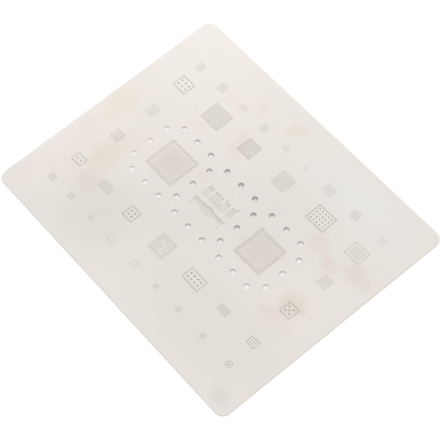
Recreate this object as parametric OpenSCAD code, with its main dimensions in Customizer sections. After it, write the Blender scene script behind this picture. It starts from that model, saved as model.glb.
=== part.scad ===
// Solder paste stencil for reballing the chips of a small circuit board.
// One stainless foil, laser cut right through with the pad pattern of each chip.
// It lies flat on z = 0 with its long side along X and its middle over the origin.
// A chip is placed by its centre, and its pattern fills the length and width given for it.

/* [Foil] */
// Length of the foil, along X
foil_l = 85; // [76:0.5:110]
// Width of the foil, along Y
foil_w = 67; // [56:0.5:90]
// Thickness of the foil
foil_t = 0.12; // [0.08:0.01:0.3]
// Radius of the foil's four corners
corner_r = 2.3; // [0.5:0.1:4]

/* [Ball apertures] */
// Centre distance of neighbouring ball apertures
ball_pitch = 0.7; // [0.65:0.01:0.8]
// Diameter of a ball aperture
ball_d = 0.42; // [0.2:0.01:0.5]
// Diameter of a ball aperture in the core of a processor
core_ball_d = 0.36; // [0.2:0.01:0.5]

/* [Leadless chips] */
// Centre distance of the slots along a chip's edge
slot_pitch = 0.85; // [0.75:0.01:1]
// Size of an edge slot along the edge
slot_w = 0.55; // [0.2:0.01:0.6]
// Size of an edge slot across the edge
slot_l = 0.36; // [0.2:0.01:0.5]
// Least foil between the slots of two edges that meet at a chip's corner
corner_land = 0.12; // [0.08:0.01:0.3]
// Diameter of a dot in a chip's ground pad
dot_d = 0.52; // [0.3:0.01:0.7]
// Centre distance of the dots in most ground pads
dot_pitch = 1.15; // [0.95:0.01:1.25]
// Centre distance of the dots in the two widest spaced ground pads
wide_dot_pitch = 1.3; // [1.1:0.01:1.35]
// Centre distance of the dots in the radio module's ground pad
radio_dot_pitch = 1; // [0.8:0.01:1.05]
// Centre distance of the two dots under the smallest leadless chip
small_dot_pitch = 0.75; // [0.74:0.01:1]

/* [Microphone] */
// Diameter of the circle that the microphone's ring pads lie on
mic_ring_d = 1.5; // [1.4:0.05:2]
// Number of pads in the microphone's ring
mic_pads = 8; // [4:1:8]

/* [Vents] */
// Diameter of a vent hole
vent_d = 1.5; // [0.8:0.1:2.2]
// Centre distance of the three vents along one side of a cell
vent_pitch = 5.1; // [4.5:0.1:5.6]
// Side of the square cells that the vents frame
cell_side = 16.4; // [15.6:0.1:16.8]

/* [Hidden] */
$fn = 48;

// The whole pattern sits a little off the middle of the foil.
pattern_centre = [-0.45, 0.1];

// Height of each row of chips above the middle of the pattern.
top_row_y = 22.7;
upper_row_y = 16.25;
side_row_y = 5.45;
lower_row_y = -16;
bottom_row_y = -23.6;

// Distance of the two side columns from the middle of the pattern.
left_column_x = -31.05;
right_column_x = 32.75;

// Plain ball grids: [x, y, length, width].
grid_chips = [
    [-32.85, top_row_y, 2.4, 2.3], [-24.25, top_row_y, 2.4, 2.4], [-16.15, top_row_y, 2.2, 1.7],
    [-8.35, top_row_y, 1.9, 1.9], [-0.45, top_row_y, 1.6, 1], [7.05, top_row_y, 1.1, 1],
    [15.35, top_row_y, 2.8, 2.2], [24.55, top_row_y, 2.4, 2.3],
    [-18.55, upper_row_y, 6.2, 5.6], [-6.45, upper_row_y, 4.4, 4.4], [6.05, upper_row_y, 4.4, 4.2],
    [left_column_x, side_row_y, 2.9, 2.8], [left_column_x, -side_row_y, 3, 3],
    [right_column_x, side_row_y, 3, 3],
    [-21.85, lower_row_y, 4.2, 2.4], [22.55, lower_row_y, 3, 1.8],
    [-32.9, bottom_row_y, 1.8, 1.5], [-25.55, bottom_row_y, 1.8, 1.5], [-17.65, bottom_row_y, 1.2, 1.2],
    [7.15, bottom_row_y, 1.3, 1.1], [15.45, bottom_row_y, 1.3, 1.1], [24.35, bottom_row_y, 1.2, 1.2]
];

// Ball grids with an empty middle: [x, y, length, width].
ring_chips = [
    [33.85, top_row_y, 1.6, 1.5], [-9.55, bottom_row_y, 2.4, 1.9], [-0.85, bottom_row_y, 1.8, 1.8]
];

// Leadless chips: [x, y, length, width, columns of dots, rows of dots, pitch of the dots].
leadless_chips = [
    [-31.55, upper_row_y, 4.6, 3.8, 3, 2, wide_dot_pitch],
    [19.65, upper_row_y, 6.1, 4.9, 5, 4, radio_dot_pitch],
    [-32.35, lower_row_y, 3.4, 2.6, 2, 1, dot_pitch],
    [-11.7, lower_row_y, 3.5, 3.5, 2, 2, dot_pitch],
    [11.95, lower_row_y, 5.7, 3.5, 4, 2, dot_pitch],
    [33.05, lower_row_y, 2.9, 2.3, 2, 1, small_dot_pitch]
];

// The power chip has four ground dots and a fifth in their middle.
power_side = 3.5;

// The codec is a ball grid inside a frame of edge slots.
codec_x = 32.15;
codec_frame = [4.8, 4.1];
codec_grid = [3, 2.4];

// The two processors stand in the middle of the outer cells.
left_processor = [9.3, 8.8];
left_processor_moats = [2, 5];
right_processor = [9, 9];
processor_core_from = 2;

// The audio chip has places without balls: [left, bottom, right, top].
audio_x = 0.05;
audio_side = 5;
audio_gaps = [[-1.3, 0.5, 1, 0.9], [-1.3, 0.9, -0.9, 1.3], [0.2, -1.2, 0.7, 0.5], [0.6, -1.6, 1.6, -1.2]];

// The flash chip in the middle cell is a set of filled blocks: [left, bottom, right, top].
flash_place = [0.15, -0.05];
flash_l = 10.2;
flash_w = 7.2;
flash_blocks = [
    [-5.3, -0.2, -3.4, 3.1], [-5.3, 3, -4.8, 4],
    [-2.7, -0.2, 2.7, 1.4], [-2.7, 1.3, -0.7, 3.1], [-0.3, 1.3, 0.6, 3.1], [0.8, 1.3, 2.7, 3.1],
    [0.7, 3, 1.2, 4], [3.3, -0.2, 5.3, 3.1], [4.8, 3, 5.3, 4],
    [-5.3, -3, 5.3, -1.1], [-1.1, -1.2, 1.1, -0.4], [-2, -3.7, 2, -2.9],
    [-5.3, -3.9, -4.8, -2.9], [4.8, -3.9, 5.3, -2.9]
];

// Middle of the microphone.
mic_place = [33.55, bottom_row_y];

// How many apertures of size d fill a span at this pitch, and the places of the first to the last.
function fill_count(span, d, pitch) = max(2, round((span - d) / pitch) + 1);
function places(count, pitch) = [for (i = [0:count - 1]) (i - (count - 1) / 2) * pitch];

// Whether a place lies in one of the boxes.
function in_box(x, y, b) = x > b[0] && x < b[2] && y > b[1] && y < b[3];
function in_any(x, y, boxes) = len([for (b = boxes) if (in_box(x, y, b)) 1]) > 0;

// How many rows of balls lie outside the ball in column i and row j.
function rows_outside(i, j, cols, rows) = min(i, j, cols - 1 - i, rows - 1 - j);

// A ball grid that fills length by width. The rows counted in moats and the places in gaps are empty,
// and from row core_from inwards the apertures have the core's diameter.
module ball_grid(length, width, moats = [], core_from = undef, gaps = []) {
    cols = fill_count(length, ball_d, ball_pitch);
    rows = fill_count(width, ball_d, ball_pitch);
    xs = places(cols, ball_pitch);
    ys = places(rows, ball_pitch);
    for (i = [0:cols - 1], j = [0:rows - 1]) {
        depth = rows_outside(i, j, cols, rows);
        in_core = !is_undef(core_from) && depth >= core_from;
        if (len(search(depth, moats)) == 0 && !in_any(xs[i], ys[j], gaps))
            translate([xs[i], ys[j]]) circle(d = in_core ? core_ball_d : ball_d);
    }
}

// The balls of one common grid that lie in the flash chip's blocks.
module flash_chip() {
    for (x = places(fill_count(flash_l, ball_d, ball_pitch), ball_pitch))
        for (y = places(fill_count(flash_w, ball_d, ball_pitch), ball_pitch))
            if (in_any(x, y, flash_blocks)) translate([x, y]) circle(d = ball_d);
}

// The slots along one edge of a leadless chip, centred on the Y axis.
module slot_row(length) {
    span = length - 2 * (slot_l + corner_land) - slot_w;
    for (x = places(floor(span / slot_pitch) + 1, slot_pitch))
        translate([x, 0]) square([slot_w, slot_l], center = true);
}

// The slots round the four edges of a leadless chip.
module edge_slots(length, width) {
    for (side = [-1, 1]) {
        translate([0, side * (width - slot_l) / 2]) slot_row(length);
        translate([side * (length - slot_l) / 2, 0]) rotate(90) slot_row(width);
    }
}

// The dots of a ground pad.
module ground_dots(cols, rows, pitch) {
    for (x = places(cols, pitch), y = places(rows, pitch))
        translate([x, y]) circle(d = dot_d);
}

// A leadless chip: edge slots round a ground pad.
module leadless(length, width, cols, rows, pitch) {
    edge_slots(length, width);
    ground_dots(cols, rows, pitch);
}

module power_chip() {
    leadless(power_side, power_side, 2, 2, wide_dot_pitch);
    circle(d = dot_d);
}

module codec() {
    edge_slots(codec_frame[0], codec_frame[1]);
    ball_grid(codec_grid[0], codec_grid[1]);
}

// A microphone's ring of pads round one dot.
module microphone() {
    circle(d = dot_d);
    for (k = [0:mic_pads - 1])
        rotate(360 * k / mic_pads) translate([mic_ring_d / 2, 0]) circle(d = core_ball_d);
}

module processors() {
    translate([-cell_side, 0])
        ball_grid(left_processor[0], left_processor[1], left_processor_moats, processor_core_from);
    translate([cell_side, 0])
        ball_grid(right_processor[0], right_processor[1], core_from = processor_core_from);
}

// Round holes that ease the foil's heat round the three middle chips.
module vents() {
    half = cell_side / 2;
    for (cell = [-1:1], step = [-1:1], side = [-1, 1])
        translate([cell * cell_side + step * vent_pitch, side * half]) circle(d = vent_d);
    for (wall = [-3, -1, 1, 3], step = [-1:1])
        translate([wall * half, step * vent_pitch]) circle(d = vent_d);
}

module apertures() {
    for (chip = grid_chips) translate([chip[0], chip[1]]) ball_grid(chip[2], chip[3]);
    for (chip = ring_chips) translate([chip[0], chip[1]]) ball_grid(chip[2], chip[3], moats = [1]);
    for (chip = leadless_chips)
        translate([chip[0], chip[1]]) leadless(chip[2], chip[3], chip[4], chip[5], chip[6]);
    translate([right_column_x, -side_row_y]) power_chip();
    translate([codec_x, upper_row_y]) codec();
    translate([audio_x, lower_row_y]) ball_grid(audio_side, audio_side, gaps = audio_gaps);
    translate(flash_place) flash_chip();
    translate(mic_place) microphone();
    processors();
    vents();
}

module foil_blank() {
    square([foil_l - 2 * corner_r, foil_w], center = true);
    square([foil_l, foil_w - 2 * corner_r], center = true);
    for (x = [-1, 1], y = [-1, 1])
        translate([x * (foil_l / 2 - corner_r), y * (foil_w / 2 - corner_r)]) circle(r = corner_r);
}

module stencil_sheet() {
    color([0.9, 0.88, 0.86])
        linear_extrude(foil_t)
            difference() {
                foil_blank();
                translate(pattern_centre) apertures();
            }
}

stencil_sheet();
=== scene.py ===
import math

import bmesh
import bpy
import numpy as np
from mathutils import Matrix, Vector
from mathutils.geometry import delaunay_2d_cdt


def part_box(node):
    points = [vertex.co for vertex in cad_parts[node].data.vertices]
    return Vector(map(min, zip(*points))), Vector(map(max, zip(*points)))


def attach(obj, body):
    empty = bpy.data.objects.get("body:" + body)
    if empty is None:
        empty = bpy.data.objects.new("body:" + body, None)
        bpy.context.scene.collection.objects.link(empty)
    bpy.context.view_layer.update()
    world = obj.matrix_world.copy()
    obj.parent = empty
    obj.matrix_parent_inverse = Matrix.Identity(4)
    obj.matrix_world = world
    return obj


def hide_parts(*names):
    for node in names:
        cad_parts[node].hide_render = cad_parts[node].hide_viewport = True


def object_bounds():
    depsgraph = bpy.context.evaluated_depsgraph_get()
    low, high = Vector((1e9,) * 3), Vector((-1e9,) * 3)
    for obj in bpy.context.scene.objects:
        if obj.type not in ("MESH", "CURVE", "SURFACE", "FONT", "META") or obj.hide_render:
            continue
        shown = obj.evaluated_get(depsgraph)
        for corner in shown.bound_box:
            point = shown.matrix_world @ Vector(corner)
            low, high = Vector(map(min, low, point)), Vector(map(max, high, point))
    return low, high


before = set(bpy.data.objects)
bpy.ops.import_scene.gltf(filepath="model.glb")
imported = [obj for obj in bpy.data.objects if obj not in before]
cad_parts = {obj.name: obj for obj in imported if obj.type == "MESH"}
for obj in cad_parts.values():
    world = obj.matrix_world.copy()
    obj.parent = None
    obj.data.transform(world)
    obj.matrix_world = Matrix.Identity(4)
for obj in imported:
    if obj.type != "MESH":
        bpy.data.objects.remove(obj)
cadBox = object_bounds()
scene = bpy.context.scene
scene.view_settings.view_transform = "Standard"
mm = 0.001  # one millimetre in scene units


# sRGB curve, from a written hex colour to the linear numbers that a shader takes
def linear(hexColour):
    srgb = np.array([int(hexColour[i:i + 2], 16) for i in (1, 3, 5)]) / 255
    rgb = np.where(srgb <= 0.04045, srgb / 12.92, ((srgb + 0.055) / 1.055) ** 2.4)
    return (*rgb.tolist(), 1.0)


# a node with its settings; an input is a number, a colour or another node's socket
def addNode(tree, kind, inputs=None, **settings):
    node = tree.nodes.new(kind)
    for name, value in settings.items():
        setattr(node, name, value)
    for key, value in (inputs or {}).items():
        if isinstance(value, bpy.types.NodeSocket):
            tree.links.new(value, node.inputs[key])
        else:
            node.inputs[key].default_value = value
    return node


# a value from 0 to 1 moved to the range from low to high
def scaled(tree, value, low, high):
    return addNode(tree, "ShaderNodeMapRange", {"Value": value, "To Min": low, "To Max": high}).outputs[0]


def emptyMaterial(name):
    material = bpy.data.materials.new(name)
    material.use_nodes = True
    material.node_tree.nodes.clear()
    return material


def addObject(name, data):
    thing = bpy.data.objects.new(name, data)
    scene.collection.objects.link(thing)
    return thing


camera = {
    "heading": -59.35,           # degrees from +Y towards +X
    "elevation": 60.52,          # degrees that the view looks down
    "roll": -10.45,              # degrees
    "distance": 405.05,          # mm from the point that it looks at
    "aim": (3.33, -1.43, 0.0),   # mm
    "lens": 140.6,               # mm on a 36 mm sensor
}


def addCamera():
    heading, elevation, roll = (math.radians(camera[key]) for key in ("heading", "elevation", "roll"))
    look = Vector((math.sin(heading) * math.cos(elevation),
                   math.cos(heading) * math.cos(elevation), -math.sin(elevation)))
    level = look.cross(Vector((0, 0, 1))).normalized()
    rise = level.cross(look)
    right = level * math.cos(roll) + rise * math.sin(roll)
    up = rise * math.cos(roll) - level * math.sin(roll)
    lens = bpy.data.cameras.new("camera")
    lens.lens = camera["lens"]
    lens.sensor_width = 36
    lens.clip_start = 0.01
    viewer = addObject("camera", lens)
    viewer.matrix_world = Matrix((right, up, -look)).transposed().to_4x4()
    viewer.matrix_world.translation = Vector(camera["aim"]) * mm - look * camera["distance"] * mm
    scene.camera = viewer


addCamera()
print("camera placed")


studio = {
    "roomLevel": 0.68,                   # what the room gives to matt surfaces
    "keyHeading": -42.0,                 # degrees from +Y towards +X
    "keyHeight": 32.0,                   # degrees
    "keyWidth": 25.0,                    # degrees, how wide the lamp looks from the foil
    "keyStrength": 2.1,                  # W for each square metre that faces it
    "panelPlace": (-0.30, 0.205, 0.345),  # m
    "panelSize": 0.12,                   # m
    "panelPower": 0.021,                 # W
    "tableColour": "#F2F2F0",
    "tableGlow": 0.1,                    # added where the table itself is looked at
    "paintedShadeColour": "#E3E1DB",           # painted shade: a darker paper on the part of the table that the foil covers
    "paintedGlowUnderFoil": 0.09,                  # painted light: a glow on the covered paper, standing in for the light that gets in under the foil
    "paintedShadeShare": 0.8,                  # of the foil's length and width, where the paper has the painted shade and glow
    "tableReach": 1.5,                   # m from the middle to its rim
    "tableLines": 321,                   # grid lines each way
    "nearShare": 0.1,                    # how far apart the lines are in the middle, against an even grid
    "dip": 0.4,                          # mm that the table sinks below the foil
    "dipPlace": (3.0, 14.0),             # mm, where the dip is deepest
    "dipSpread": (19.0, 22.0),           # mm
    "hollowDepth": 0.09,                 # mm, the same below six leadless chips and the microphone
    "hollowSpread": 2.6,                 # mm
    "hollows": [(-32.0, 16.3), (-32.8, -15.9), (-12.1, -15.9), (11.5, -15.9), (32.3, -4.8), (33.1, -16.2),
                (33.3, -23.8)],          # mm
}


# 1 for what the camera sees straight on, in a gloss or through glass, and 0 for the light on matt things
def seenDirectly(tree):
    path = addNode(tree, "ShaderNodeLightPath")
    seen, glossy, through = (path.outputs[f"Is {kind} Ray"] for kind in ("Camera", "Glossy", "Transmission"))
    either = addNode(tree, "ShaderNodeMath", {0: seen, 1: glossy}, operation="MAXIMUM").outputs[0]
    return addNode(tree, "ShaderNodeMath", {0: either, 1: through}, operation="MAXIMUM").outputs[0]


def addRoom():
    world = bpy.data.worlds.new("white room")
    world.use_nodes = True
    tree = world.node_tree
    tree.nodes.clear()
    level = scaled(tree, seenDirectly(tree), studio["roomLevel"], 1.0)
    back = addNode(tree, "ShaderNodeBackground", {"Color": (1, 1, 1, 1), "Strength": level})
    addNode(tree, "ShaderNodeOutputWorld", {"Surface": back.outputs[0]})
    scene.world = world


# a lamp far away, so wide that the rim of a shadow fades over about the shadow's own length
def addKey():
    lamp = bpy.data.lights.new("key", "SUN")
    lamp.angle = math.radians(studio["keyWidth"])
    lamp.energy = studio["keyStrength"]
    holder = addObject("key", lamp)
    holder.visible_glossy = False  # or it would leave a hot spot in the steel
    heading, height = math.radians(studio["keyHeading"]), math.radians(studio["keyHeight"])
    towards = Vector((math.sin(heading) * math.cos(height),
                      math.cos(heading) * math.cos(height), math.sin(height)))
    holder.rotation_euler = towards.to_track_quat("Z", "Y").to_euler()


# a small white panel beyond the foil, that the steel mirrors as a sheen at its far corner
def addPanel():
    lamp = bpy.data.lights.new("panel", "AREA")
    lamp.size = studio["panelSize"]
    lamp.energy = studio["panelPower"]
    holder = addObject("panel", lamp)
    holder.location = Vector(studio["panelPlace"])
    holder.rotation_euler = (-holder.location).to_track_quat("-Z", "Y").to_euler()


# The foil is flat, so the table sinks where a real foil would bow clear of it: a sum of hollows, each of them
# -depth * exp(-u^2 - v^2), u and v being the distances from its middle over its spread. The grid lines
# follow reach * (a t + (1 - a) t^7), a being nearShare: close together under the foil, far apart at the rim.
def addTable():
    t = np.linspace(-1, 1, studio["tableLines"])
    near = studio["nearShare"]
    line = studio["tableReach"] * (near * t + (1 - near) * t ** 7)
    x, y = np.meshgrid(line, line, indexing="ij")
    hollows = [(studio["dip"], studio["dipPlace"], studio["dipSpread"])]
    hollows += [(studio["hollowDepth"], place, (studio["hollowSpread"],) * 2) for place in studio["hollows"]]
    z = np.zeros(x.shape)
    for depth, place, spread in hollows:
        u, v = (x / mm - place[0]) / spread[0], (y / mm - place[1]) / spread[1]
        z -= depth * mm * np.exp(-u ** 2 - v ** 2)
    index = np.arange(x.size).reshape(x.shape)
    faces = np.stack([index[:-1, :-1], index[1:, :-1], index[1:, 1:], index[:-1, 1:]], axis=-1).reshape(-1, 4)
    mesh = bpy.data.meshes.new("table")
    mesh.from_pydata(np.stack([x, y, z], axis=-1).reshape(-1, 3).tolist(), [], faces.tolist())
    mesh.shade_smooth()
    mesh.materials.append(paper("matt white paper", studio["tableColour"], studio["tableGlow"]))
    # under the foil: painted shade in a darker paper and painted light in its glow, which set the tone seen
    # through the apertures
    mesh.materials.append(paper("paper with painted shade and glow", studio["paintedShadeColour"], studio["paintedGlowUnderFoil"]))
    middle = np.stack([x, y], axis=-1).reshape(-1, 2)[faces].mean(axis=1)
    reach = [(high - low) / 2 * studio["paintedShadeShare"] for low, high in zip(cadBox[0][:2], cadBox[1][:2])]
    paintedShadeFaces = np.all(np.abs(middle) < reach, axis=-1)
    mesh.polygons.foreach_set("material_index", paintedShadeFaces.astype(np.int32))
    addObject("table", mesh)


# matt paper, dyed cellulose fibre with no gloss, that also glows a little where it is looked at. Under the
# foil a darker paper's colour is painted shade and its glow is painted light
def paper(name, colour, glow):
    material = emptyMaterial(name)
    tree = material.node_tree
    matt = addNode(tree, "ShaderNodeBsdfDiffuse", {"Color": linear(colour)})
    strength = addNode(tree, "ShaderNodeMath", {0: seenDirectly(tree), 1: glow}, operation="MULTIPLY")
    light = addNode(tree, "ShaderNodeEmission", {"Strength": strength.outputs[0]})
    both = addNode(tree, "ShaderNodeAddShader", {0: matt.outputs[0], 1: light.outputs[0]})
    addNode(tree, "ShaderNodeOutputMaterial", {"Surface": both.outputs[0]})
    return material


addRoom()
addKey()
addPanel()
addTable()
print("studio lit")


foilLow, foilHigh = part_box("stencil_sheet")
foil = {
    "length": (foilHigh.x - foilLow.x) / mm,
    "width": (foilHigh.y - foilLow.y) / mm,
    "thickness": (foilHigh.z - foilLow.z) / mm,
    "cornerRadius": 2.3,            # mm, as all lengths here
    "patternCentre": (-0.45, 0.1),
    "ballPitch": 0.35,
    "outerRowShare": 1.1,           # outermost row of a plain grid, against its other balls
    "ringBallSize": 0.13,           # chips without balls in their middle
    "flashBalls": (0.205, 0.14),    # the two rows along a block's far edge, and the rest
    "audioBalls": [0.18, 0.165, 0.14],
    "slotPitch": 0.35,
    "slotWidth": 0.12,
    "slotLength": 0.34,
    "cornerLand": 0.05,             # foil left between two rows of slots at a chip's corner
    "fieldMargin": 0.02,            # foil kept round a row of slots in its own field
    "dotMargin": 0.05,
    "holeMargin": 0.06,             # against the hole's size
    "microphoneDot": 0.4,
    "microphoneRadius": 0.78,       # its ring of fine holes
    "microphoneHoles": 16,
    "microphoneHoleSize": 0.21,
    "ventSize": 1.5,
    "ventPitch": 5.1,
    "cellSide": 16.4,               # side of the square cells that the vents frame
    "processorShift": 0.22,         # to the right of the outer cells' middles
    "topRow": 22.7,
    "upperRow": 16.25,
    "sideRows": (5.95, -4.95),
    "lowerRow": -16.0,
    "lowerCornerRow": -16.3,        # the last chip of the lower row
    "bottomRow": -23.75,
    "leftColumn": -31.05,
    "rightColumn": 32.75,
    "microphonePlace": (33.76, -23.85),
}

# plain ball grids of each row: x, length, width and ball size
gridChips = {
    "topRow": [(-32.85, 2.4, 2.3, 0.155), (-24.25, 2.4, 2.4, 0.15), (-16.15, 2.2, 1.7, 0.12),
               (-8.35, 1.9, 1.9, 0.145), (-0.45, 1.6, 1.0, 0.145), (7.05, 1.1, 1.0, 0.125),
               (15.35, 2.8, 2.2, 0.135), (24.55, 2.4, 2.3, 0.142)],
    "upperRow": [(-18.8, 6.2, 5.6, 0.18), (-6.45, 4.4, 4.4, 0.185), (6.05, 4.4, 4.2, 0.155)],
    "lowerRow": [(-21.85, 4.2, 2.4, 0.16), (22.55, 3.0, 1.8, 0.18)],
    "bottomRow": [(-32.9, 1.8, 1.5, 0.175), (-25.55, 1.8, 1.5, 0.15), (-17.65, 1.2, 1.2, 0.14),
                  (7.15, 1.3, 1.1, 0.175), (15.45, 1.3, 1.1, 0.175), (24.35, 1.2, 1.2, 0.18)],
}

# the two processors: side of the middle cell, length, width, then the ball size of each row from the outside
# in, and the last one fills the rest
processors = [
    (-1, 9.6, 8.9, [0.19, 0.19, 0.11, 0.155, 0.1, 0.155, 0.13, 0.15]),
    (1, 9.0, 9.0, [0.195, 0.19, 0.165, 0.125]),
]

# plain ball grids in the side columns: x, y, length, width and ball size
upperSide, lowerSide = foil["sideRows"]
sideChips = [
    (foil["leftColumn"], upperSide, 2.9, 2.8, 0.15), (foil["leftColumn"] - 0.2, lowerSide, 3.0, 3.0, 0.18),
    (foil["rightColumn"], upperSide, 3.0, 3.0, 0.165),
]

# the codec: a ball grid inside a frame of slots
codec = {"place": (32.15, foil["upperRow"]), "frame": (4.8, 4.1), "slotLength": 0.28, "grid": (3.3, 2.6),
         "ballSize": 0.145}

# the power chip: a square frame of slots round a checkerboard of dots
powerChip = {"place": (foil["rightColumn"], lowerSide), "side": 3.5, "dots": 3, "dotPitch": 0.7,
             "dotSize": 0.48}

# ball grids with an empty middle: row, x, length, width
ringChips = [("topRow", 33.85, 1.6, 1.5), ("bottomRow", -9.55, 2.4, 1.9), ("bottomRow", -0.85, 1.8, 1.8)]

# leadless chips: row, x, length, width, then columns, rows, pitch and size of the ground dots
leadlessChips = [
    ("upperRow", -31.55, 4.6, 3.8, 3, 2, 1.3, 0.46), ("upperRow", 19.65, 6.1, 4.9, 5, 4, 1.0, 0.35),
    ("lowerRow", -32.35, 3.4, 2.6, 2, 1, 1.15, 0.44), ("lowerRow", -11.7, 3.5, 3.5, 2, 2, 1.15, 0.5),
    ("lowerRow", 11.95, 5.7, 3.5, 4, 2, 1.15, 0.47), ("lowerCornerRow", 33.3, 2.9, 2.3, 3, 2, 0.6, 0.26),
]

# the flash chip in the middle is a set of filled blocks, and the audio chip has places without balls:
# left, bottom, right, top
flash = {"place": (-0.1, -0.05), "size": (10.2, 7.2)}
audio = {"place": (0.05, foil["lowerRow"]), "size": (5.0, 5.0)}
flashBlocks = [
    (-5.05, -0.1, -3.3, 3.05), (-5.0, 3.2, -4.5, 3.8),
    (-2.6, -0.15, 2.7, 1.3), (-2.6, 1.3, -0.85, 2.95), (-0.3, 1.3, 0.45, 2.95), (0.95, 1.3, 2.65, 3.05),
    (1.0, 3.0, 1.4, 3.7), (3.35, 0.05, 5.4, 3.05), (4.75, 3.0, 5.3, 3.8),
    (-5.15, -2.7, 5.15, -1.15), (-0.85, -1.15, 1.15, -0.75), (-2.0, -3.5, 1.7, -2.7),
    (-5.0, -3.8, -4.5, -3.0), (4.7, -3.8, 5.2, -3.0),
]
audioGaps = [(-1.3, 0.5, 1.0, 0.9), (-1.3, 0.9, -0.9, 1.3), (0.2, -1.2, 0.7, 0.5), (0.6, -1.6, 1.6, -1.2)]

parts = {"points": [], "triangles": [], "quads": [], "rims": [], "count": 0}


def addPart(points, triangles=(), quads=()):
    for kind, faces in (("triangles", triangles), ("quads", quads)):
        if len(faces):
            parts[kind].append(np.asarray(faces) + parts["count"])
    parts["points"].append(points)
    parts["count"] += len(points)


# evenly spaced middles of the apertures that fill a span
def places(span, size, pitch):
    return spread(max(2, round((span - size) / pitch) + 1), pitch)


def spread(count, pitch):
    return (np.arange(count) - (count - 1) / 2) * pitch


# unit outline of an aperture: a circle, or with square set the rectangle round it
def outline(sides, square=False):
    angle = np.arange(sides) * 2 * math.pi / sides
    points = np.stack([np.cos(angle), np.sin(angle)], axis=-1)
    return points / np.abs(points).max(axis=-1, keepdims=True) if square else points


# A field of cells, each with one aperture or none. xs and ys are the middles of the apertures, and the cell
# borders run half way between them. sizes holds each aperture's size, 0 for a closed cell. In every cell the
# foil is the ring between its four corners and the outline, on both faces, with a straight wall between them.
def addField(centre, xs, ys, sizes, rim, sides=8, square=False, stretch=1.0):
    xs = xs + centre[0]
    ys = ys + centre[1]
    gx = np.concatenate([xs[:1] - rim[0], (xs[:-1] + xs[1:]) / 2, xs[-1:] + rim[0]])
    gy = np.concatenate([ys[:1] - rim[1], (ys[:-1] + ys[1:]) / 2, ys[-1:] + rim[1]])
    i, j = np.meshgrid(np.arange(len(xs)), np.arange(len(ys)), indexing="ij")
    corners = np.stack([np.stack([gx[i + a], gy[j + b]], axis=-1)
                        for a, b in ((1, 1), (0, 1), (0, 0), (1, 0))], axis=-2)
    opened = sizes > 0
    flat = corners[~opened]
    addPart(bothFaces(flat).reshape(-1, 3), quads=repeatFaces([[0, 1, 2, 3], [7, 6, 5, 4]], len(flat), 8))
    middle = np.stack([xs[i], ys[j]], axis=-1)[opened]
    scale = np.array([1.0, stretch]) * sizes[opened][:, None, None] / 2
    ring = middle[:, None, :] + outline(sides, square) * scale
    cells = bothFaces(np.concatenate([corners[opened], ring], axis=1))
    step = 4 + sides
    k = np.arange(sides)
    corner, here, after = k * 4 // sides, 4 + k, 4 + (k + 1) % sides
    side = np.arange(4)
    top = np.concatenate([np.stack([corner, after, here], axis=-1),
                          np.stack([side, (side + 1) % 4, 4 + (side + 1) * sides // 4 % sides], axis=-1)])
    wall = np.stack([here, after, after + step, here + step], axis=-1)
    faces = np.concatenate([top, top[:, ::-1] + step])
    addPart(cells.reshape(-1, 3), repeatFaces(faces, len(cells), 2 * step),
            repeatFaces(wall, len(cells), 2 * step))
    parts["rims"].append(np.concatenate([
        np.stack([gx[:-1], np.full(len(gx) - 1, gy[0])], axis=-1),
        np.stack([np.full(len(gy) - 1, gx[-1]), gy[:-1]], axis=-1),
        np.stack([gx[:0:-1], np.full(len(gx) - 1, gy[-1])], axis=-1),
        np.stack([np.full(len(gy) - 1, gx[0]), gy[:0:-1]], axis=-1)]))


# the same plan on the upper face and then on the lower one
def bothFaces(plan):
    upper = np.concatenate([plan, np.full((*plan.shape[:-1], 1), foil["thickness"])], axis=-1)
    lower = np.concatenate([plan, np.zeros((*plan.shape[:-1], 1))], axis=-1)
    return np.concatenate([upper, lower], axis=-2)


def repeatFaces(faces, times, step):
    faces = np.asarray(faces)
    return (faces[None] + (np.arange(times) * step)[:, None, None]).reshape(-1, faces.shape[1])


def at(x, y):
    return (x + foil["patternCentre"][0], y + foil["patternCentre"][1])


# how many rows lie outside each cell of a grid
def rowsOutside(columns, rows):
    i, j = np.meshgrid(np.arange(columns), np.arange(rows), indexing="ij")
    return np.minimum(np.minimum(i, columns - 1 - i), np.minimum(j, rows - 1 - j))


def inBoxes(xs, ys, boxes):
    x, y = np.meshgrid(xs, ys, indexing="ij")
    inside = [(x > left) & (x < right) & (y > bottom) & (y < top) for left, bottom, right, top in boxes]
    return np.any(inside, axis=0)


# A ball grid; rings gives the ball size of each row from the outside in, and its last value fills the rest.
# With blocks given in only, balls lie in them alone, and rings[0] is for their two far rows.
def addBalls(x, y, length, width, rings, gaps=(), only=()):
    pitch = foil["ballPitch"]
    xs, ys = places(length, rings[0], pitch), places(width, rings[0], pitch)
    sizes = np.array(rings)[np.minimum(rowsOutside(len(xs), len(ys)), len(rings) - 1)]
    if gaps:
        sizes = np.where(inBoxes(xs, ys, gaps), 0.0, sizes)
    if only:
        sizes = np.where(inBoxes(xs, ys + 2 * pitch, only), rings[-1], rings[0])
        sizes = np.where(inBoxes(xs, ys, only), sizes, 0.0)
    addField(at(x, y), xs, ys, sizes, (pitch / 2, pitch / 2))


# the slots round the four edges of a leadless chip; the rows along its length run into its corners
def addEdgeSlots(x, y, length, width, deep=foil["slotLength"]):
    wide, margin = foil["slotWidth"], foil["fieldMargin"]
    for across, along, upright in ((width, length, False), (length, width, True)):
        span = along - 2 * (deep + foil["cornerLand"]) if upright else along
        row = spread(int((span - wide) / foil["slotPitch"]) + 1, foil["slotPitch"])
        for side in (-1, 1):
            off = side * (across - deep) / 2
            if upright:
                addField(at(x + off, y), np.zeros(1), row, np.full((1, len(row)), deep),
                         (deep / 2 + margin, wide / 2 + margin), square=True, stretch=wide / deep)
            else:
                addField(at(x, y + off), row, np.zeros(1), np.full((len(row), 1), wide),
                         (wide / 2 + margin, deep / 2 + margin), square=True, stretch=deep / wide)


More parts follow.
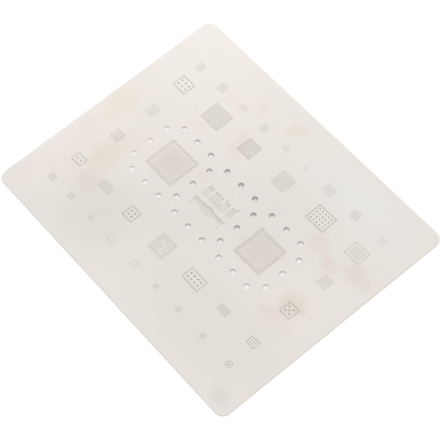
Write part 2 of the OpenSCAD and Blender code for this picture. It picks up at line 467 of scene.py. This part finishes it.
def addDots(x, y, columns, rows, pitch, size, keep=None):
    sizes = np.full((columns, rows), size) if keep is None else np.where(keep, size, 0.0)
    addField(at(x, y), spread(columns, pitch), spread(rows, pitch), sizes,
             (size / 2 + foil["dotMargin"],) * 2, sides=16)


def addHole(x, y, size, sides=32):
    addField(at(x, y), np.zeros(1), np.zeros(1), np.full((1, 1), size),
             (size * (0.5 + foil["holeMargin"]),) * 2, sides=sides)


def addChips():
    for row, chips in gridChips.items():
        for x, length, width, ball in chips:
            addBalls(x, foil[row], length, width, [foil["outerRowShare"] * ball, ball])
    ring = foil["ringBallSize"]
    for row, x, length, width in ringChips:
        addBalls(x, foil[row], length, width, [ring, ring, 0.0])
    for row, x, length, width, *dots in leadlessChips:
        addEdgeSlots(x, foil[row], length, width)
        addDots(x, foil[row], *dots)
    addEdgeSlots(*codec["place"], *codec["frame"], deep=codec["slotLength"])
    addBalls(*codec["place"], *codec["grid"], [codec["ballSize"]])
    for x, y, length, width, ball in sideChips:
        addBalls(x, y, length, width, [ball])
    addEdgeSlots(*powerChip["place"], powerChip["side"], powerChip["side"])
    count = powerChip["dots"]
    addDots(*powerChip["place"], count, count, powerChip["dotPitch"], powerChip["dotSize"],
            keep=np.indices((count, count)).sum(axis=0) % 2 == 0)
    for side, length, width, balls in processors:
        addBalls(side * foil["cellSide"] + foil["processorShift"], 0, length, width, balls)
    addBalls(*flash["place"], *flash["size"], foil["flashBalls"], only=flashBlocks)
    addBalls(*audio["place"], *audio["size"], foil["audioBalls"], gaps=audioGaps)
    addMicrophone(*foil["microphonePlace"])


# the microphone: a dot in a ring of fine holes
def addMicrophone(x, y):
    addHole(x, y, foil["microphoneDot"], sides=16)
    radius, count = foil["microphoneRadius"], foil["microphoneHoles"]
    for angle in np.arange(count) * 2 * math.pi / count:
        addHole(x + radius * math.cos(angle), y + radius * math.sin(angle),
                foil["microphoneHoleSize"], sides=8)


def addVents():
    half = foil["cellSide"] / 2
    steps = [k * foil["ventPitch"] for k in (-1, 0, 1)]
    for cell in (-1, 0, 1):
        for step in steps:
            for side in (-1, 1):
                addHole(cell * foil["cellSide"] + step, side * half, foil["ventSize"])
    for wall in (-3, -1, 1, 3):
        for step in steps:
            addHole(wall * half, step, foil["ventSize"])


# outline of the foil: four arcs joined by straight edges
def foilOutline():
    radius = foil["cornerRadius"]
    quarter = np.linspace(0, math.pi / 2, 13)
    angle = (quarter[None] + np.arange(4)[:, None] * math.pi / 2).ravel()
    signs = np.repeat([[1, 1], [-1, 1], [-1, -1], [1, -1]], len(quarter), axis=0)
    middle = signs * (np.array([foil["length"], foil["width"]]) / 2 - radius)
    return middle + radius * np.stack([np.cos(angle), np.sin(angle)], axis=-1)


# The plain foil between the fields: the outline and every field's rim are kept as edges of one flat
# triangle net, and a triangle whose middle lies inside a rim is left out of it.
def addPlainFoil():
    edge = foilOutline()
    loops = [edge] + parts["rims"]
    plan = np.concatenate(loops)
    starts = np.cumsum([0] + [len(loop) for loop in loops])
    rounds = [np.arange(len(loop)) + start for loop, start in zip(loops, starts)]
    edges = np.concatenate([np.stack([here, np.roll(here, -1)], axis=-1) for here in rounds])
    net = delaunay_2d_cdt([Vector(p) for p in plan.tolist()], edges.tolist(), [], 1, 1e-6)
    triangles = np.array(net[2])
    middle = plan[triangles].mean(axis=1)
    covered = [np.all((middle > rim.min(axis=0)) & (middle < rim.max(axis=0)), axis=-1)
               for rim in parts["rims"]]
    triangles = triangles[~np.any(covered, axis=0)]
    flat = plan[triangles]
    turn = np.cross(flat[:, 1] - flat[:, 0], flat[:, 2] - flat[:, 0])
    triangles = np.where((turn > 0)[:, None], triangles, triangles[:, ::-1])
    count = len(plan)
    addPart(bothFaces(plan), np.concatenate([triangles, triangles[:, ::-1] + count]))
    here = np.arange(len(edge))
    after = (here + 1) % len(edge)
    addPart(bothFaces(edge), quads=np.stack([after, here, here + len(edge), after + len(edge)], axis=-1))


def buildFoil():
    addChips()
    addVents()
    addPlainFoil()
    points = np.concatenate(parts["points"]) * mm
    mesh = bpy.data.meshes.new("laserCutFoil")
    mesh.from_pydata(points.tolist(), [],
                     np.concatenate(parts["triangles"]).tolist() + np.concatenate(parts["quads"]).tolist())
    shape = bmesh.new()
    shape.from_mesh(mesh)
    bmesh.ops.remove_doubles(shape, verts=shape.verts, dist=0.001 * mm)
    shape.to_mesh(mesh)
    openEdges = sum(1 for edge in shape.edges if not edge.is_manifold)
    print("foil welded:", openEdges, "open edges,", round(shape.calc_volume() / mm ** 3, 1), "cubic mm")
    shape.free()
    mesh.shade_smooth()
    mesh.set_sharp_from_angle(angle=math.radians(30))
    return addObject("laserCutFoil", mesh)


steel = {
    "colour": "#E7E2DC",
    "blotchColour": "#E5E0DA",
    "blotchSize": 16.0,      # mm across a soft change of tone
    "grainWidth": 0.3,       # mm across a rolling mark; a real one is under 0.05 mm and would not show
    "grainLength": 9.0,      # mm
    "grainDepth": 0.0004,    # mm
    "roughness": (0.27, 0.33),
    "cutColour": "#DAD4CC",  # laser-cut wall, dulled by the heat of the cut
    "cloudEdge": 2.0,        # mm by which noise shifts the outline of a stain or of the painted sheen
    "cloudNoise": 7.0,       # mm
    "cloudFade": (0.2, 1.15),  # in half axes, from full strength to none
}

# Clouds of colour: middle and half axes in mm, turn in degrees, colour, strength. The first four are wide
# changes of tone, darker or cooler; the fifth is painted sheen, paler down the left edge. Most others are
# pink, from dried flux, or tan, from heat.
toneStainsAndSheen = [
    ((0.5, 0.0), (52.0, 19.0), 50, "#E1DED8", 0.9),
    ((-18.5, -20.5), (13.0, 12.0), 0, "#D8D5CE", 0.45),
    ((22.0, 27.0), (24.0, 11.0), 0, "#E6E4DF", 0.8),
    ((22.0, -20.0), (28.0, 14.0), 0, "#E1DCD6", 0.8),
    # painted sheen: a paler cloud down the left edge, standing in for the steel's reflection of the light
    ((-40.0, -12.0), (9.0, 24.0), 0, "#F6F1EC", 0.4),
    ((-38.5, 1.5), (5.0, 7.5), 0, "#E4D5C2", 0.4),
    ((-28.0, -2.5), (4.2, 4.6), 0, "#E8D5CA", 0.3),
    ((-29.0, -10.5), (4.6, 6.5), 0, "#DECBB6", 0.32),
    ((-26.5, -18.0), (4.0, 4.2), 0, "#E0CDC0", 0.32),
    ((-38.0, -9.0), (5.5, 7.5), 0, "#E8D5D0", 0.38),
    ((-36.5, -18.5), (6.5, 7.0), 0, "#E6D5D0", 0.28),
    ((-39.5, -27.0), (4.0, 6.0), 0, "#E6D6D0", 0.25),
    ((-13.3, 26.8), (4.0, 2.2), -45, "#E8D3CE", 0.35),
    ((-2.8, 27.8), (2.8, 2.6), 0, "#E0CEBB", 0.3),
    ((-19.5, 22.0), (4.0, 2.4), 0, "#E8D6D0", 0.25),
    ((-20.0, 12.0), (4.0, 2.4), 0, "#E8D6D0", 0.3),
    ((-9.3, 15.3), (3.0, 6.0), 25, "#E6D0CA", 0.4),
    ((24.0, 11.2), (4.0, 3.0), 0, "#E0CEC8", 0.38),
    ((29.2, 9.6), (3.2, 2.8), 0, "#E2CAC6", 0.42),
    ((36.2, 12.4), (5.6, 3.8), 0, "#D4C6BE", 0.34),
    ((31.7, -3.9), (4.0, 3.8), 0, "#D3BFA9", 0.3),
    ((30.0, -8.3), (4.0, 2.8), 0, "#E0CAC4", 0.38),
    ((35.2, -9.0), (3.2, 2.6), 0, "#E4D2CC", 0.3),
    ((-16.8, 0.1), (7.0, 6.5), 45, "#DECEC2", 0.2),
    ((16.2, 0.1), (7.0, 6.5), 45, "#DACABE", 0.24),
    ((-8.5, 3.6), (3.2, 2.6), 0, "#E0CEC6", 0.25),
    ((38.3, -30.0), (4.0, 3.2), 0, "#D6D0C9", 0.36),
]


def mixColour(tree, factor, first, second):
    return addNode(tree, "ShaderNodeMix", {0: factor, 6: first, 7: second}, data_type="RGBA").outputs[2]


# its strength in the middle of a stain or of the painted sheen and 0 at its rim: a smooth step of the
# distance in half axes
def cloudShape(tree, place, middle, axes, turn, strength):
    near = addNode(tree, "ShaderNodeMapping", {
        "Vector": place, "Location": (middle[0] * mm, middle[1] * mm, 0),
        "Rotation": (0, 0, math.radians(turn)), "Scale": (axes[0] * mm, axes[1] * mm, 1)},
        vector_type="TEXTURE")
    distance = addNode(tree, "ShaderNodeVectorMath", {0: near.outputs[0]}, operation="LENGTH")
    inner, outer = steel["cloudFade"]
    return addNode(tree, "ShaderNodeMapRange", {
        "Value": distance.outputs["Value"], "From Min": inner, "From Max": outer,
        "To Min": strength, "To Max": 0.0}, interpolation_type="SMOOTHSTEP").outputs[0]


# Stainless steel foil, cold rolled, laser cut and electropolished: an even satin grey, a little warm, that
# blurs what it mirrors. Flux and heat have left faint pink and tan clouds, one pale cloud is painted sheen,
# and the cut walls are duller.
def stainlessSteel():
    material = emptyMaterial("satin stainless steel foil")
    tree = material.node_tree
    place = addNode(tree, "ShaderNodeTexCoord").outputs["Object"]
    blotch = addNode(tree, "ShaderNodeTexNoise", {
        "Vector": place, "Scale": 1 / (steel["blotchSize"] * mm), "Detail": 1.0}).outputs["Fac"]
    colour = mixColour(tree, blotch, linear(steel["colour"]), linear(steel["blotchColour"]))

    cloud = addNode(tree, "ShaderNodeTexNoise", {
        "Vector": place, "Scale": 1 / (steel["cloudNoise"] * mm), "Detail": 2.0}).outputs["Color"]
    shift = addNode(tree, "ShaderNodeVectorMath", {0: cloud, 1: (0.5,) * 3}, operation="SUBTRACT").outputs[0]
    ragged = addNode(tree, "ShaderNodeVectorMath", {
        0: shift, 1: (2 * steel["cloudEdge"] * mm,) * 3, 2: place}, operation="MULTIPLY_ADD").outputs[0]
    for middle, axes, turn, cloudColour, strength in toneStainsAndSheen:
        share = cloudShape(tree, ragged, middle, axes, turn, strength)
        colour = mixColour(tree, share, colour, linear(cloudColour))

    normal = addNode(tree, "ShaderNodeNewGeometry").outputs["Normal"]
    upright = addNode(tree, "ShaderNodeSeparateXYZ", {0: normal}).outputs["Z"]
    level = addNode(tree, "ShaderNodeMath", {0: upright}, operation="ABSOLUTE").outputs[0]
    colour = mixColour(tree, level, linear(steel["cutColour"]), colour)

    along = addNode(tree, "ShaderNodeMapping", {
        "Vector": place, "Scale": (steel["grainWidth"] / steel["grainLength"], 1, 1)}).outputs[0]
    grain = addNode(tree, "ShaderNodeTexNoise", {
        "Vector": along, "Scale": 1 / (steel["grainWidth"] * mm), "Detail": 2.0}).outputs["Fac"]
    relief = addNode(tree, "ShaderNodeBump", {
        "Height": grain, "Distance": steel["grainDepth"] * mm, "Strength": 1.0}).outputs[0]
    shader = addNode(tree, "ShaderNodeBsdfPrincipled", {
        "Base Color": colour, "Metallic": 1.0, "Roughness": scaled(tree, grain, *steel["roughness"]),
        "Normal": relief})
    addNode(tree, "ShaderNodeOutputMaterial", {"Surface": shader.outputs[0]})
    return material


sheet = buildFoil()
sheet.data.materials.append(stainlessSteel())
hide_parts("stencil_sheet")
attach(sheet, "root")
print("foil built:", sum(len(face.vertices) - 2 for face in sheet.data.polygons), "triangles")
